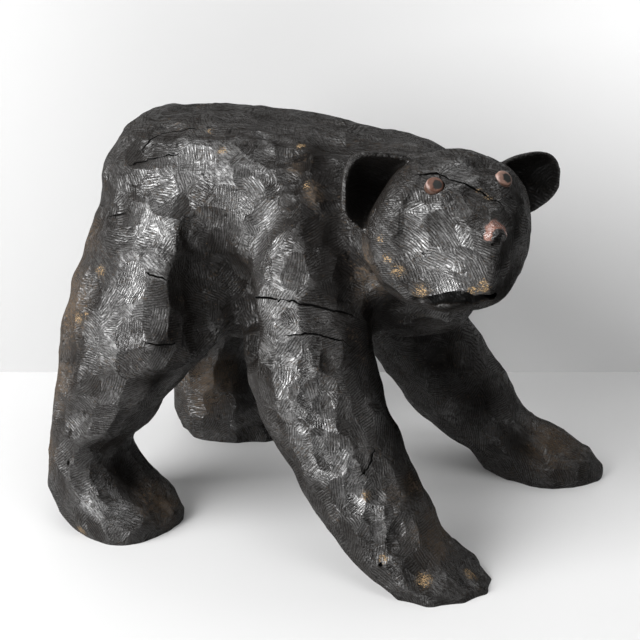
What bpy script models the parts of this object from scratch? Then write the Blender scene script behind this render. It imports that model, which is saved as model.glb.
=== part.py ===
"""A bear carved with a chainsaw from one log: it stands on four feet and turns its head to its right.

Metres, +Z up. The bear walks towards +X and its left side is +Y. The origin is on the ground, under
the middle of the bear's box. The tables give a bear 700 units high, so that a unit is a millimetre
at BACK_HEIGHT = 0.70, and every length is scaled by UNIT.
"""

import math

import bmesh
import bpy
import numpy as np
from mathutils import Matrix, Vector
from mathutils.bvhtree import BVHTree

# Driving dimensions, in metres.
BACK_HEIGHT = 0.70
UNIT = BACK_HEIGHT / 700

# Everything below is in units.
FUSE_VOXEL = 10
BLEND_STEPS = 6
FACETS_KEPT = 0.124
SOLE_DROP = 25  # the legs run this far below the ground before the feet are sawn flat

MIDDLE = (27.3, -1.8, 0)  # of the carved bear's box, in the tables' own frame
HEAD_TURN = math.radians(-49)
HEAD_CENTRE = (261, -177, 560)
HEAD_REACH = 150  # from its middle to well outside

EYE_RADIUS = 12.5
EYE_GAP = 0.4
EYE_RAISE = 1.5  # the plug's shoulder above the face
EYE_SHANK = 9  # from its shoulder down to its bottom
EYE_DOME = ((-EYE_SHANK, 1), (0.8, 1), (2.6, 0.86), (3.9, 0.55), (4.5, 0.2))  # height, share of the radius
SOCKET_DEPTH = EYE_SHANK + 1
SOCKET_RUN = 20  # of its cutter, out past the face

STAINED_WOOD = ((0.035, 0.030, 0.027), 0.45)  # colour, roughness
COPPER_BROWN = ((0.24, 0.12, 0.08), 0.40)

# A point and the outward normal of each of the saw's flat cuts through the head: forward, left, up.
FACE_CUTS = (
    ((132, -2, -10), (0.70, -0.70, -0.11)),
    ((140, 1, -10), (0.77, 0.64, -0.11)),
    ((132, 0, 42), (0.60, 0.0, 0.80)),
    ((131, 0, -60), (0.56, 0.0, -0.83)),
    ((0, -100, 77), (-0.44, -0.74, 0.50)),
)
# Width, length and swing of the strokes.
TORSO_STROKE = (56, 92, 0.7)
LEG_STROKE = (48, 66, 0.35)
HEAD_STROKE = (44, 52, 0.6)
STROKE_DEPTH = (4.5, 8.0)
STROKE_DRIFT = 24
# Squareness of each mass's section, and how far it is turned.
TORSO_SECTION = (2.5, 0)
RIGHT_HIND_SECTION = (2.7, math.radians(-20))
LEFT_HIND_SECTION = (2.7, math.radians(20))
RIGHT_FORE_SECTION = (2.7, math.radians(37))
LEFT_FORE_SECTION = (2.5, math.radians(-37))
NECK_SECTION = (2.1, 0)
HEAD_SECTION = (2.3, 0)
HOLLOW = 1.9
DEEPEST = 13
CREASE = 0.7
CREASE_SPREAD = 3

# Broad hollows in the blended skin: a spot over it, its outward normal, the way it runs, depth, half length, half width.
HOLLOWS = (
    ((-112, -186, 448), (0.15, -0.98, 0.0), (0, 0, 1), 26, 142, 62),
    ((-112, 186, 448), (0.15, 0.98, 0.0), (0, 0, 1), 26, 142, 62),
)

# Centre, turn outwards, (depth, half width, half height), wall, squareness, and how far the lower half
# reaches down for its half height: at the middle, and more of it towards the head.
RIGHT_EAR = ((-10, -98, 56), math.radians(-8), (50, 62, 64), 9, 3.2, 1.0, 0.4)
LEFT_EAR = ((-10, 126, 57), math.radians(6), (34, 64, 46), 8, 2.4, 1.05, 0.3)
NOSE = ((127, 4, 27), (16, 20, 17))
NOSTRIL = (6, 5, 4)
RIGHT_NOSTRIL = (141, -5, 21)
LEFT_NOSTRIL = (141, 12, 21)
RIGHT_EYE = (68, -56, 88)
LEFT_EYE = (68, 45, 84)
EYE_LEAN = (0.78, 0.14, 0.60)  # forward, outwards and up
EAR_SLOPE = 0.14  # of the upper half, down towards the head
# The mouth's groove, from the right cheek to the left.
MOUTH = ((30, -92, -80), (56, -64, -82), (90, -36, -67), (112, -13, -66), (125, 1, -60), (107, 17, -64), (76, 49, -67), (50, 80, -68))
MOUTH_RADIUS = 7

# Levels of the legs, from the top: height, back, front, right, left.
RIGHT_HIND_LEG = (
    (650, -316, -150, -130, 10),
    (590, -345, -115, -174, 10),
    (530, -359, -100, -207, 0),
    (470, -373, -92, -238, -12),
    (400, -391, -92, -262, -28),
    (330, -401, -118, -277, -65),
    (280, -402, -160, -283, -88),
    (230, -404, -206, -289, -105),
    (170, -409, -248, -295, -115),
    (128, -416, -290, -299, -120),
    (95, -420, -268, -304, -120),
    (60, -421, -230, -310, -119),
    (25, -408, -187, -316, -118),
    (-SOLE_DROP, -354, -184, -308, -130),
)
LEFT_HIND_LEG = (
    (650, -305, -150, -10, 130),
    (590, -330, -115, -10, 170),
    (530, -342, -100, 0, 203),
    (470, -352, -96, 12, 234),
    (400, -362, -114, 30, 256),
    (310, -382, -162, 75, 270),
    (230, -392, -206, 95, 280),
    (170, -394, -240, 102, 285),
    (128, -396, -252, 104, 288),
    (95, -400, -230, 104, 292),
    (60, -405, -186, 100, 296),
    (25, -404, -150, 94, 298),
    (-SOLE_DROP, -372, -148, 98, 290),
)
RIGHT_FORE_LEG = (
    (650, -42, 112, -122, 30),
    (600, -64, 137, -162, 20),
    (540, -80, 148, -197, 5),
    (480, -86, 150, -225, -10),
    (400, -84, 144, -244, -38),
    (340, -79, 149, -252, -58),
    (280, -70, 168, -260, -70),
    (220, -43, 197, -267, -80),
    (160, 0, 227, -273, -90),
    (110, 35, 260, -279, -96),
    (70, 71, 281, -286, -100),
    (35, 111, 311, -296, -102),
    (10, 149, 354, -300, -104),
    (-SOLE_DROP, 192, 376, -298, -112),
)
LEFT_FORE_LEG = (
    (650, -30, 130, -20, 120),
    (600, -45, 155, -15, 160),
    (540, -52, 168, 0, 195),
    (470, -50, 180, 12, 226),
    (400, -44, 192, 38, 243),
    (330, -26, 206, 67, 256),
    (270, -8, 236, 87, 270),
    (200, 32, 279, 105, 287),
    (150, 66, 304, 117, 299),
    (100, 104, 342, 127, 307),
    (60, 150, 427, 135, 311),
    (25, 213, 475, 136, 311),
    (-SOLE_DROP, 254, 468, 140, 306),
)
# Stations of the torso, from the rump: forward, right, left, bottom, top.
TORSO = (
    (-373, -30, 30, 480, 545),
    (-367, -80, 80, 440, 584),
    (-353, -130, 130, 390, 640),
    (-308, -170, 170, 340, 680),
    (-240, -182, 182, 312, 688),
    (-150, -184, 182, 292, 690),
    (-50, -180, 178, 292, 684),
    (50, -162, 174, 306, 671),
    (130, -142, 170, 325, 656),
    (200, -120, 150, 332, 630),
    (245, -92, 112, 352, 592),
    (268, -62, 70, 395, 548),
    (276, -25, 25, 445, 495),
)
# The neck's and the head's stations are in the head's turned frame: forward, right, left, bottom, top.
NECK = (
    (-250, -120, 120, -190, 95),
    (-170, -125, 120, -170, 96),
    (-100, -115, 112, -140, 92),
    (-30, -100, 100, -110, 88),
)
HEAD = (
    (-115, -75, 80, -85, 74),
    (-70, -112, 110, -106, 104),
    (-20, -126, 125, -114, 117),
    (20, -124, 122, -113, 115),
    (50, -106, 107, -109, 107),
    (75, -84, 86, -102, 94),
    (100, -58, 62, -86, 75),
    (122, -37, 41, -63, 56),
    (140, -24, 24, -30, 44),
    (150, -12, 12, -5, 34),
)


def clear_scene():
    for obj in list(bpy.data.objects):
        bpy.data.objects.remove(obj, do_unlink=True)


def body_frame():
    """The matrix from the tables' units to metres, with the middle of the bear's box over the origin."""
    return Matrix.Translation(Vector(MIDDLE) * -UNIT) @ Matrix.Scale(UNIT, 4)


def head_frame():
    """The matrix from the head's forward, left and up, in units, to metres."""
    return body_frame() @ Matrix.Translation(HEAD_CENTRE) @ Matrix.Rotation(HEAD_TURN, 4, "Z")


def moved(points, frame):
    turn = np.array(frame)
    return points @ turn[:3, :3].T + turn[:3, 3]


def along(table, steps):
    """The table's rows with rows between them on a Catmull-Rom curve."""
    table = np.array(table, float)
    ends = np.vstack([2 * table[0] - table[1], table, 2 * table[-1] - table[-2]])
    before, start, end, after = ends[:-3], ends[1:-2], ends[2:-1], ends[3:]
    rows = []
    for t in np.arange(steps) / steps:
        rows.append(
            start
            + 0.5 * t * (end - before)
            + t * t * (before - 2.5 * start + 2 * end - 0.5 * after)
            + t**3 * (1.5 * (start - end) + 0.5 * (after - before))
        )
    between = np.stack(rows, axis=1).reshape(-1, table.shape[1])
    return np.vstack([between, table[-1]])


def oval(sides, squareness, turned=0):
    """Points round a squared circle that is turned and then set to reach 1 each way."""
    angle = np.arange(sides) * 2 * math.pi / sides - turned
    cos, sin = np.cos(angle), np.sin(angle)
    ahead = np.sign(cos) * np.abs(cos) ** (2 / squareness)
    across = np.sign(sin) * np.abs(sin) ** (2 / squareness)
    first = ahead * math.cos(turned) - across * math.sin(turned)
    second = ahead * math.sin(turned) + across * math.cos(turned)
    return first / np.abs(first).max(), second / np.abs(second).max()


def rings(table, axis, frame, section, steps=3, sides=28):
    """Squared ellipses between the low and high sides of every level along the axis."""
    rows = along(table, steps)
    first, second = oval(sides, *section)
    points = np.empty((len(rows), sides, 3))
    one, two = [way for way in range(3) if way != axis]
    points[:, :, axis] = rows[:, :1]
    points[:, :, one] = (rows[:, 1:2] + rows[:, 2:3]) / 2 + (rows[:, 2:3] - rows[:, 1:2]) / 2 * first
    points[:, :, two] = (rows[:, 3:4] + rows[:, 4:5]) / 2 + (rows[:, 4:5] - rows[:, 3:4]) / 2 * second
    return moved(points, frame)


def loft(loops):
    """A closed bmesh through the loops, with flat ends."""
    made = bmesh.new()
    corners = [[made.verts.new(point) for point in loop] for loop in loops]
    sides = len(corners[0])
    for near, far in zip(corners, corners[1:]):
        for i in range(sides):
            j = (i + 1) % sides
            made.faces.new((near[i], near[j], far[j], far[i]))
    made.faces.new(corners[0][::-1])
    made.faces.new(corners[-1])
    bmesh.ops.recalc_face_normals(made, faces=made.faces)
    return made


def material(name, colour, roughness):
    made = bpy.data.materials.new(name)
    made.use_nodes = True
    shader = made.node_tree.nodes["Principled BSDF"]
    shader.inputs["Base Color"].default_value = (*colour, 1)
    shader.inputs["Roughness"].default_value = roughness
    made.diffuse_color = (*colour, 1)
    return made


def mesh_object(name, made, look=None):
    mesh = bpy.data.meshes.new(name)
    made.to_mesh(mesh)
    made.free()
    mesh.shade_smooth()
    if look:
        mesh.materials.append(look)
    obj = bpy.data.objects.new(name, mesh)
    bpy.context.scene.collection.objects.link(obj)
    return obj


def fused(lofts):
    """One blended skin around overlapping closed lofts."""
    whole = bmesh.new()
    scratch = bpy.data.meshes.new("scratch")
    for made in lofts:
        made.to_mesh(scratch)
        whole.from_mesh(scratch)
        made.free()
    obj = mesh_object("masses", whole)
    remesh = obj.modifiers.new("fuse", "REMESH")
    remesh.mode = "VOXEL"
    remesh.voxel_size = FUSE_VOXEL * UNIT
    blend = obj.modifiers.new("blend", "SMOOTH")
    blend.factor = 0.5
    blend.iterations = BLEND_STEPS
    graph = bpy.context.evaluated_depsgraph_get()
    skin = bpy.data.meshes.new_from_object(obj.evaluated_get(graph))
    bpy.data.objects.remove(obj)
    return skin


def rows_of_strokes(loops, width, length, rng):
    """Places and directions of strokes in rows round a limb, from its fine rings."""
    found = []
    run = np.linalg.norm(np.diff(loops, axis=0), axis=2).mean(axis=1)
    reached = np.concatenate([[0], np.cumsum(run)])
    rounds, sides = loops.shape[:2]
    for step in np.arange(length / 2, reached[-1], length):
        at = min(int(np.searchsorted(reached, step)), rounds - 2)
        girth = np.linalg.norm(np.roll(loops[at], 1, axis=0) - loops[at], axis=1).sum()
        count = max(5, round(girth / width))
        turns = (np.arange(count) + rng.uniform() + rng.uniform(-0.22, 0.22, count)) / count
        for turn in turns:
            side = int(turn * sides) % sides
            place = min(max(at + round(rng.uniform(-0.3, 0.3) * length / run.mean()), 1), rounds - 2)
            way = loops[place + 1, side] - loops[place - 1, side]
            found.append((loops[place, side], way / np.linalg.norm(way)))
    return found


def on_skin(skin, found, width, length, swing, rng):
    """Strokes laid on the skin. Those that start inside another limb are left out."""
    tree = BVHTree.FromPolygons(
        [vertex.co for vertex in skin.vertices], [face.vertices[:] for face in skin.polygons]
    )
    strokes = []
    for place, way in found:
        spot, normal, _, away = tree.find_nearest(Vector(place))
        depth = rng.uniform(*STROKE_DEPTH) * UNIT
        lean = rng.uniform(-swing, swing)
        bend_across = HOLLOW * width * rng.uniform(0.8, 1.3)
        if away > STROKE_DRIFT * UNIT:
            continue
        normal = np.array(normal)
        way = way - normal * (way @ normal)
        way /= np.linalg.norm(way)
        way = way * math.cos(lean) + np.cross(normal, way) * math.sin(lean)
        bend_along = (length * 0.55) ** 2 / (2 * depth)
        strokes.append((np.array(spot), normal, way, depth, bend_along, bend_across, 0.9 * length))
    return strokes


def sawn(made, cuts, frame):
    """A convex bmesh cut flat by planes, each given by a point and an outward normal."""
    turn = frame.to_3x3().normalized()
    for point, normal in cuts:
        everything = made.verts[:] + made.edges[:] + made.faces[:]
        bmesh.ops.bisect_plane(
            made, geom=everything, plane_co=frame @ Vector(point), plane_no=turn @ Vector(normal), clear_outer=True
        )
        bmesh.ops.holes_fill(made, edges=[edge for edge in made.edges if edge.is_boundary])
    bmesh.ops.recalc_face_normals(made, faces=made.faces)
    return made


def openness(mesh, points, normals):
    """1 where the skin is flat or bulges, down to 0 in a crease, where a blade can't reach."""
    ends = np.empty(len(mesh.edges) * 2, np.int32)
    mesh.edges.foreach_get("vertices", ends)
    one, two = np.concatenate([ends.reshape(-1, 2), ends.reshape(-1, 2)[:, ::-1]]).T
    around = np.bincount(one, minlength=len(points))
    dip = np.bincount(one, ((points[two] - points[one]) * normals[one]).sum(axis=1), len(points))
    dip /= FUSE_VOXEL * UNIT
    for _ in range(CREASE_SPREAD):
        dip = np.maximum(dip, np.bincount(one, dip[two], len(points)) / around)
    return np.clip((CREASE - dip) / CREASE * 1.5, 0, 1)


def carved(points, normals, strokes, deepest):
    """How far each point sinks along its normal, to the deepest stroke over it.

    A gouge follows the skin where this rises over its spot.
    """
    order = np.argsort(points[:, 0])
    sorted_x = points[order, 0]
    sunk = np.zeros(len(points))
    for spot, normal, way, depth, bend_along, bend_across, reach in strokes:
        first, last = np.searchsorted(sorted_x, (spot[0] - reach, spot[0] + reach))
        near = order[first:last]
        near = near[np.linalg.norm(points[near] - spot, axis=1) < reach]
        facing = normals[near] @ normal
        near, facing = near[facing > 0.4], facing[facing > 0.4]
        away = points[near] - spot
        run, over = away @ way, away @ np.cross(normal, way)
        rise = np.minimum(away @ normal, 0)
        floor = run**2 / (2 * bend_along) + over**2 / (2 * bend_across) - depth
        sunk[near] = np.minimum(sunk[near], (floor - rise) / facing)
    return np.maximum(sunk, -deepest * UNIT)


def arrays_of(mesh):
    points = np.empty(len(mesh.vertices) * 3, np.float32)
    normals = np.empty(len(mesh.vertices) * 3, np.float32)
    mesh.vertices.foreach_get("co", points)
    mesh.vertices.foreach_get("normal", normals)
    return points.reshape(-1, 3).astype(float), normals.reshape(-1, 3).astype(float)


def cup(centre, turn, sizes, wall, squareness, drop, towards, frame, sides=22):
    """An ear: an oval bowl with a thick wall, open forwards. Its sizes are depth, half width, half height."""
    depth, half_width, half_height = sizes
    outer = [(math.sin(t), -depth * math.cos(t)) for t in np.linspace(0.15, math.pi / 2, 5)]
    lip = 1 - wall / half_width
    inner = [(lip * math.sin(t), -(depth - wall) * math.cos(t) ** 2) for t in np.linspace(math.pi / 2, 0.15, 5)]
    profile = outer + [((1 + lip) / 2, wall * 0.35)] + inner
    place = frame @ Matrix.Translation(centre) @ Matrix.Rotation(turn, 4, "Z")
    first, second = oval(sides, squareness)
    inwards = -math.copysign(1, centre[1]) * first
    second = second * np.where(second < 0, drop + towards * inwards, 1 - EAR_SLOPE * inwards)
    loops = []
    for spread, ahead in profile:
        ring = [np.full(sides, ahead), spread * half_width * first, spread * half_height * second]
        loops.append(moved(np.stack(ring, axis=1), place))
    return loft(loops)


def ball(centre, sizes, frame, rounds=9, sides=16):
    """An ellipsoid."""
    first, second = oval(sides, 2)
    loops = []
    for t in np.linspace(0.15, math.pi - 0.15, rounds):
        ring = [np.full(sides, -math.cos(t)), math.sin(t) * first, math.sin(t) * second]
        loops.append(moved(np.stack(ring, axis=1) * sizes + centre, frame))
    return loft(loops)


def turned(profile, sides=24):
    """A solid of revolution about x, in metres, from (forward, radius) pairs."""
    first, second = oval(sides, 2)
    loops = []
    for ahead, radius in profile:
        ring = [np.full(sides, float(ahead)), radius * first, radius * second]
        loops.append(np.stack(ring, axis=1) * UNIT)
    return loft(loops)


def tube(path, radius, frame, sides=8):
    """A round bar through the points, square across the path at each."""
    centres = along([point + (0,) for point in path], 3)[:, :3]
    run = np.gradient(centres, axis=0)
    run /= np.linalg.norm(run, axis=1, keepdims=True)
    first, second = oval(sides, 2)
    loops = []
    for centre, way in zip(centres, run):
        up = np.array((0, 0, 1)) - way * way[2]
        up /= np.linalg.norm(up)
        loops.append(moved(centre + radius * (np.outer(first, up) + np.outer(second, np.cross(way, up))), frame))
    return loft(loops)


def combine(target, tool, operation):
    """Joins or cuts with a hidden tool."""
    tool.hide_render = True
    tool.display_type = "WIRE"
    step = target.modifiers.new(tool.name, "BOOLEAN")
    step.operation = operation
    step.solver = "MANIFOLD"
    step.object = tool


def eye_place(tree, spot, frame):
    """The frame of an eye: its origin at the plug's shoulder, just off the carved face, x along its axis."""
    side = math.copysign(1, spot[1])
    lean = Vector((EYE_LEAN[0], side * EYE_LEAN[1], EYE_LEAN[2]))
    axis = (frame.to_3x3().normalized() @ lean).normalized()
    seat = tree.ray_cast(frame @ Vector(spot) + axis * HEAD_REACH * UNIT, -axis)[0]
    shoulder = seat + axis * EYE_RAISE * UNIT
    return Matrix.Translation(shoulder) @ axis.to_track_quat("X", "Z").to_matrix().to_4x4()


def hollow_out(skin, frame):
    """Sinks the broad hollows into the skin."""
    points, normals = arrays_of(skin)
    turn = frame.to_3x3().normalized()
    gouges = []
    for spot, normal, way, depth, half_length, half_width in HOLLOWS:
        out = turn @ Vector(normal).normalized()
        ahead = turn @ Vector(way)
        ahead = (ahead - out * ahead.dot(out)).normalized()
        bend_along, bend_across = half_length**2 / (2 * depth) * UNIT, half_width**2 / (2 * depth) * UNIT
        place = np.array(frame @ Vector(spot))
        gouges.append(
            (place, np.array(out), np.array(ahead), depth * UNIT, bend_along, bend_across, half_length * UNIT)
        )
    sunk = carved(points, normals, gouges, HOLLOWS[0][3])
    skin.vertices.foreach_set("co", (points + normals * sunk[:, None]).ravel())
    skin.update()


def carve_skin(masses, head, rng):
    """The blended skin of all the masses, with a gouge's stroke sunk at every seed."""
    lofts = [loft(rings(table, axis, frame, section)) for table, axis, frame, section, _ in masses]
    sawn(lofts[-1], FACE_CUTS, head)
    skin = fused(lofts)
    hollow_out(skin, body_frame())
    strokes = []
    for table, axis, frame, section, (width, length, swing) in masses:
        fine = rings(table, axis, frame, section, steps=14, sides=120)
        found = rows_of_strokes(fine, width * UNIT, length * UNIT, rng)
        strokes += on_skin(skin, found, width * UNIT, length * UNIT, swing, rng)
    points, normals = arrays_of(skin)
    sunk = carved(points, normals, strokes, DEEPEST) * openness(skin, points, normals)
    skin.vertices.foreach_set("co", (points + normals * sunk[:, None]).ravel())
    skin.update()
    return skin


def add_features(bear, head):
    """Ears, nose, nostrils and mouth."""
    combine(bear, mesh_object("right_ear", cup(*RIGHT_EAR, head)), "UNION")
    combine(bear, mesh_object("left_ear", cup(*LEFT_EAR, head)), "UNION")
    combine(bear, mesh_object("nose", ball(*NOSE, head)), "UNION")
    for name, spot in (("nostril_right", RIGHT_NOSTRIL), ("nostril_left", LEFT_NOSTRIL)):
        combine(bear, mesh_object(name, ball(spot, NOSTRIL, head, rounds=8, sides=12)), "DIFFERENCE")
    combine(bear, mesh_object("mouth", tube(MOUTH, MOUTH_RADIUS, head)), "DIFFERENCE")


def add_eye(name, place, bear, look):
    """A domed round plug in a socket that is a little wider and deeper."""
    hole_radius = EYE_RADIUS + EYE_GAP
    socket = mesh_object(name + "_socket", turned(((-SOCKET_DEPTH, hole_radius), (SOCKET_RUN, hole_radius))))
    socket.matrix_world = place
    combine(bear, socket, "DIFFERENCE")
    eye = mesh_object(name, turned([(height, share * EYE_RADIUS) for height, share in EYE_DOME]), look)
    eye.matrix_world = place
    eye.parent = bear


def main():
    clear_scene()
    body, head = body_frame(), head_frame()
    masses = (
        (TORSO, 0, body, TORSO_SECTION, TORSO_STROKE),
        (RIGHT_HIND_LEG, 2, body, RIGHT_HIND_SECTION, LEG_STROKE),
        (LEFT_HIND_LEG, 2, body, LEFT_HIND_SECTION, LEG_STROKE),
        (RIGHT_FORE_LEG, 2, body, RIGHT_FORE_SECTION, LEG_STROKE),
        (LEFT_FORE_LEG, 2, body, LEFT_FORE_SECTION, LEG_STROKE),
        (NECK, 0, head, NECK_SECTION, LEG_STROKE),
        (HEAD, 0, head, HEAD_SECTION, HEAD_STROKE),
    )
    skin = carve_skin(masses, head, np.random.default_rng(7))
    tree = BVHTree.FromPolygons(
        [vertex.co for vertex in skin.vertices], [face.vertices[:] for face in skin.polygons]
    )
    skin.materials.append(material("stained_wood", *STAINED_WOOD))
    bear = bpy.data.objects.new("bear", skin)
    bpy.context.scene.collection.objects.link(bear)
    fewer = bear.modifiers.new("fewer", "DECIMATE")
    fewer.ratio = FACETS_KEPT

    ground = bmesh.new()
    bmesh.ops.create_cube(ground, size=2, matrix=Matrix.Translation((0, 0, -1)))
    combine(bear, mesh_object("ground", ground), "DIFFERENCE")
    add_features(bear, head)
    copper_brown = material("copper_brown", *COPPER_BROWN)
    for name, spot in (("eye_right", RIGHT_EYE), ("eye_left", LEFT_EYE)):
        add_eye(name, eye_place(tree, spot, head), bear, copper_brown)


if __name__ == "__main__":
    main()
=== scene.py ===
"""A bear carved with a chainsaw from one log: dark stained wood with cracks, chips and round plug eyes.

The body is one skin over seven lofted masses, blended as the solid is and carved with the same strokes, then
with finer ones. Tables are in units, and those of the head are in its turned frame. The bear is TALL units
high, so the frame's height gives a unit's size.
"""

import math
from functools import partialmethod

import bmesh
import bpy
import numpy as np
from mathutils import Matrix, Vector
from mathutils.bvhtree import BVHTree


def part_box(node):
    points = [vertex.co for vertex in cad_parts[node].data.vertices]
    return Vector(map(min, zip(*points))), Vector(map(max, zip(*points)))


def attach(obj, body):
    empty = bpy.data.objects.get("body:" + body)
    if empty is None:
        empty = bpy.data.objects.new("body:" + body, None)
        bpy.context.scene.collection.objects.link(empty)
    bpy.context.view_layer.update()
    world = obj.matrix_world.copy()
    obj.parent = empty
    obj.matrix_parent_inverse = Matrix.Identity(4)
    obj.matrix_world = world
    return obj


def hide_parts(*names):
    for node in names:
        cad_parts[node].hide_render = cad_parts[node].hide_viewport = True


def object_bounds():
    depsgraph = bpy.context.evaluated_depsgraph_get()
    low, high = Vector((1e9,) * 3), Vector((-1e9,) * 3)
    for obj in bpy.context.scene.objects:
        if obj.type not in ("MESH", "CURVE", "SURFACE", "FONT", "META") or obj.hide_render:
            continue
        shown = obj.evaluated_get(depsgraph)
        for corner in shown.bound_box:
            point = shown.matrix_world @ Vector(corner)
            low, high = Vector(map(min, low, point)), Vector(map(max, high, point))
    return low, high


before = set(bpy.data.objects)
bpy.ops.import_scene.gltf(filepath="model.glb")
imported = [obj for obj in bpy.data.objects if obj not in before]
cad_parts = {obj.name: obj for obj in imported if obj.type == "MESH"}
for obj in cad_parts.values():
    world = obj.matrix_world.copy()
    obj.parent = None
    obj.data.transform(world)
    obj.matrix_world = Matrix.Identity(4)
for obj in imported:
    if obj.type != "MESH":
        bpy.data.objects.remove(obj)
cad_box = [list(corner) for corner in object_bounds()]

TALL = 689.02
UNIT = (cad_box[1][2] - cad_box[0][2]) / TALL

# The masses, in units: the same as the solid's.
FUSE_VOXEL = 10
BLEND_STEPS = 6
SKIN_VOXEL = 2.6
SKIN_STEPS = 3
SOLE_DROP = 25
MOST_TRIANGLES = 190000

MIDDLE = (27.3, -1.8, 0)
HEAD_TURN = math.radians(-49)
HEAD_CENTRE = (261, -177, 560)

FACE_CUTS = (
    ((132, -2, -10), (0.70, -0.70, -0.11)),
    ((140, 1, -10), (0.77, 0.64, -0.11)),
    ((132, 0, 42), (0.60, 0.0, 0.80)),
    ((131, 0, -60), (0.56, 0.0, -0.83)),
    ((0, -100, 77), (-0.44, -0.74, 0.50)),
)
# Width, length and swing of the strokes.
TORSO_STROKE = (56, 92, 0.7)
LEG_STROKE = (48, 66, 0.35)
HEAD_STROKE = (44, 52, 0.6)
STROKE_DEPTH = (4.5, 8.0)
STROKE_DRIFT = 24
HOLLOW = 1.9
DEEPEST = 13
CREASE = 0.7
CREASE_SPREAD = 3
FACING = 0.4  # a stroke shapes the skin that faces its own way by more than this
# Broad hollows in the blended skin: spot, outward normal, way along, depth, half length, half width.
HOLLOWS = (
    ((-112, -186, 448), (0.15, -0.98, 0.0), (0, 0, 1), 26, 142, 62),
    ((-112, 186, 448), (0.15, 0.98, 0.0), (0, 0, 1), 26, 142, 62),
    ((-96, -182, 440), (0.15, -0.98, 0.0), (-0.34, 0, 0.94), 34, 150, 46),
)

# The finer strokes over them.
COARSE_SHARE = 0.45  # of the solid's strokes: the rest of their depth is evened out
SMALL_COUNT = 900
# Width, length and depth of short strokes, each from and to, how they lean, and their reach per length.
SMALL_STROKE = ((22, 42), (40, 90), (0.6, 1.7), 0.5, 0.75)
DENT = ((24, 36), (30, 48), (2.6, 4.6), 0.3, 0.8)
# Where short dents overlap: how far apart the lanes are, how many dents there are and the path they follow.
DENT_CHAINS = (
    (16, 26, (13, -238, 409), (36, -242, 398), (41, -240, 365),
     (62, -251, 303), (88, -252, 248), (128, -254, 205)),
    (16, 15, (128, -254, 205), (162, -256, 154), (197, -260, 111), (214, -268, 80)),
    (10, 10, (68, -233, 375), (100, -232, 302), (136, -241, 231), (179, -242, 154)),
    (14, 14, (-123, -101, 666), (-59, -112, 656), (10, -126, 633), (44, -136, 622)),
    (16, 9, (-20, -148, 606), (34, -167, 589), (72, -159, 575)),
    (16, 22, (-40, 250, 380), (20, 262, 300), (90, 280, 210)),
    (25, 22, (-300, 200, 560), (-180, 180, 600), (-60, 175, 610)),
)
# The finished skin's grain, and how its upturned parts have weathered: depth, size of the lumps, seed.
GRAIN = ((0.4, (70, 8, 8), 21), (0.35, (14, 14, 14), 22))
WEATHERING = ((5, (60, 13, 13), 23), (4, (24, 18, 12), 24))
NO_STROKE = ((0, 0, 0), (0, 1, 0), (0, 0, 1))  # spot, normal and way where nothing has cut
FINE_SHARE = 0.4  # of the finer strokes' depth is left in creases, and where the chain planed

# Balls in the next tables are a centre and a radius.
# Where the strokes are shallow, as the chain planed more than it bit.
BODY_PLANED = (
    (-45, -178, 530, 80), (-25, -195, 460, 70), (5, -225, 400, 50), (130, -190, 300, 90),
    (-250, -200, 520, 70), (-240, -230, 420, 70), (-290, -270, 60, 50),
)
HEAD_PLANED = ((70, -75, -10, 85), (110, -25, -20, 60), (20, -110, 20, 60))
PLANED_SHARE = 0.75  # of the strokes' depth is lost there

# Centre, turn outwards, (depth, half width, half height), wall, squareness, and how far the lower half
# reaches down for its half height: at the middle, and more of it towards the head.
EARS = (
    ((-10, -98, 56), math.radians(-8), (50, 62, 64), 9, 3.2, 1.0, 0.4),
    ((-10, 126, 57), math.radians(6), (34, 64, 46), 8, 2.4, 1.05, 0.3),
)
EAR_SLOPE = 0.14  # of the upper half, down towards the head
# Centres and half sizes.
NOSE = ((127, 4, 27), (16, 20, 17))
NOSE_DISH = ((146, 4, 19), (7, 13, 14))
NOSTRILS = ((141, -4, 16), (141, 12, 16))
NOSTRIL_SIZES = (6, 3.5, 4)
# Points along the mouth and its radius there.
MOUTH = (
    (30, -92, -82, 4), (56, -64, -84, 7), (75, -46, -76, 8), (90, -32, -70, 10), (99, -20, -69, 10),
    (105, -8, -73, 10), (109, 4, -70, 10), (104, 18, -65, 8), (76, 49, -67, 7), (50, 80, -68, 5),
)
EYE_LEAN = (0.78, 0.14, 0.60)
EYE_RADIUS = 12.5
EYE_CENTRE = 2.25  # from the middle of the plug's box up to its shoulder
SOCKET = ((-10, 13.1), (20, 13.1))  # its ends: how far from the shoulder, and the radius
EYE_SHANK = 9
EYE_DOME = 3.2
WOOD_SHARP = math.radians(14)  # edges with more than this between their faces are sharp
EYE_SHARP = math.radians(50)

# Levels of the legs, from the top: height, back, front, right, left.
RIGHT_HIND_LEG = (
    (650, -316, -150, -130, 10), (590, -345, -115, -174, 10), (530, -359, -100, -207, 0),
    (470, -373, -92, -238, -12), (400, -391, -92, -262, -28), (330, -401, -118, -277, -65),
    (280, -402, -160, -283, -88), (230, -404, -206, -289, -105), (170, -409, -248, -295, -115),
    (128, -416, -290, -299, -120), (95, -420, -268, -304, -120), (60, -421, -230, -310, -119),
    (25, -408, -187, -316, -118), (-SOLE_DROP, -354, -184, -308, -130),
)
LEFT_HIND_LEG = (
    (650, -305, -150, -10, 130), (590, -330, -115, -10, 170), (530, -342, -100, 0, 203),
    (470, -352, -96, 12, 234), (400, -362, -114, 30, 256), (310, -382, -162, 75, 270),
    (230, -392, -206, 95, 280), (170, -394, -240, 102, 285), (128, -396, -252, 104, 288),
    (95, -400, -230, 104, 292), (60, -405, -186, 100, 296), (25, -404, -150, 94, 298),
    (-SOLE_DROP, -372, -148, 98, 290),
)
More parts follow.
